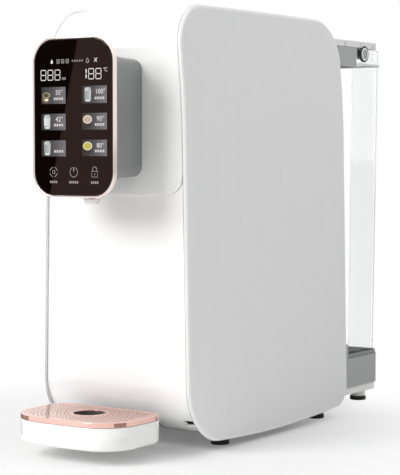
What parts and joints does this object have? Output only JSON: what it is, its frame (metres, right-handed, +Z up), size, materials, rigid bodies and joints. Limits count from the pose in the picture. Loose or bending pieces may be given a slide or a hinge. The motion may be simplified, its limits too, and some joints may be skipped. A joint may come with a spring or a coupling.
{
  "type": "hot water dispenser",
  "caption": "Countertop hot water dispenser with a touch-screen head over a drip tray and a lift-off clear water tank behind a slim rounded body.",
  "frame": {"origin": "on the table, under the middle of the whole machine's box", "axes": "+Z up, front (head and drip tray) towards -Y, +X to the right as seen from the front"},
  "size_m": [0.1648, 0.47, 0.3942],
  "materials": {
    "white_gloss": "glossy white ABS",
    "white_satin": "satin white ABS",
    "grey_plastic": "matte grey ABS",
    "dark_plastic": "matte dark grey",
    "black_glass": "polished black glass",
    "rose_gold": "rose-gold plating",
    "plated_metal": "bright plating",
    "rubber": "matte black rubber",
    "clear_tank": "clear moulded resin",
    "steel": "plain steel",
    "circuit_board": "green solder mask",
    "silicone": "translucent silicone",
    "filter_shell": "pale blue-white shell"
  },
  "bodies": {
    "casing": {"top_cover": "white_gloss", "front_panel": "white_gloss", "rear_panel": "white_gloss", "tank_plinth": "white_gloss", "side_panel_left": "white_satin", "side_frame_left": "white_satin", "side_frame_right": "white_satin", "middle_wall": "white_satin", "head_housing": "grey_plastic", "base_pan": "grey_plastic", "tank_seat": "grey_plastic", "seat_lip": "dark_plastic", "seat_coupling": "dark_plastic", "power_inlet": "dark_plastic", "pump_head": "dark_plastic", "filter_head": "dark_plastic", "solenoid_valve": "dark_plastic", "display_glass": "black_glass", "head_bezel": "rose_gold", "nozzle_body": "plated_metal", "nozzle_tip": "plated_metal", "nozzle_seal": "rubber", "foot_pad_1": "rubber", "foot_pad_2": "rubber", "foot_pad_3": "rubber", "foot_pad_4": "rubber", "foot_pad_5": "rubber", "foot_pad_6": "rubber", "clean_tank": "clear_tank", "tray_bracket": "steel", "pump_motor": "steel", "heater": "steel", "display_board": "circuit_board", "power_board": "circuit_board", "hose_tank_pump": "silicone", "hose_pump_filter": "silicone", "hose_filter_tank": "silicone", "hose_tank_heater": "silicone", "hose_heater_nozzle": "silicone"},
    "drip_tray": {"tray_body": "white_gloss", "drain_cup": "dark_plastic"},
    "tray_cover": {"tray_cover": "rose_gold"},
    "tank": {"tank_wall": "clear_tank", "tank_grip": "grey_plastic", "tank_top_cover": "white_satin", "tank_band": "white_satin", "valve_body": "white_satin", "valve_spring": "steel"},
    "filling_flap": {"tank_flap": "white_satin", "flap_pivot_left": "dark_plastic", "flap_pivot_right": "dark_plastic"},
    "tank_valve": {"valve_poppet": "dark_plastic"},
    "service_panel": {"side_panel_right": "white_satin"},
    "filter": {"filter_cartridge": "filter_shell"}
  },
  "joints": [
    {"name": "tray_slide", "type": "slide", "parent": "casing", "child": "drip_tray", "axis": [0, -1, 0], "range_m": [0, 0.08]},
    {"name": "tray_cover_lift", "type": "slide", "parent": "drip_tray", "child": "tray_cover", "axis": [0, 0, 1], "range_m": [0, 0.04]},
    {"name": "tank_lift", "type": "slide", "parent": "casing", "child": "tank", "axis": [0, 0, 1], "range_m": [0, 0.15]},
    {"name": "flap_hinge", "type": "hinge", "parent": "tank", "child": "filling_flap", "pos_m": [0, 0.192, 0.3647], "axis": [1, 0, 0], "range_deg": [0, 60]},
    {"name": "valve_lift", "type": "slide", "parent": "tank", "child": "tank_valve", "axis": [0, 0, 1], "range_m": [0, 0.003], "stiffness_N_per_m": 60, "springref_m": -0.01, "deforming": ["valve_spring"]},
    {"name": "panel_pull", "type": "slide", "parent": "casing", "child": "service_panel", "axis": [1, 0, 0], "range_m": [0, 0.08]},
    {"name": "filter_twist", "type": "hinge", "parent": "casing", "child": "filter", "pos_m": [0.0345, -0.06, 0.295], "axis": [0, 0, 1], "range_deg": [0, 60]}
  ]
}
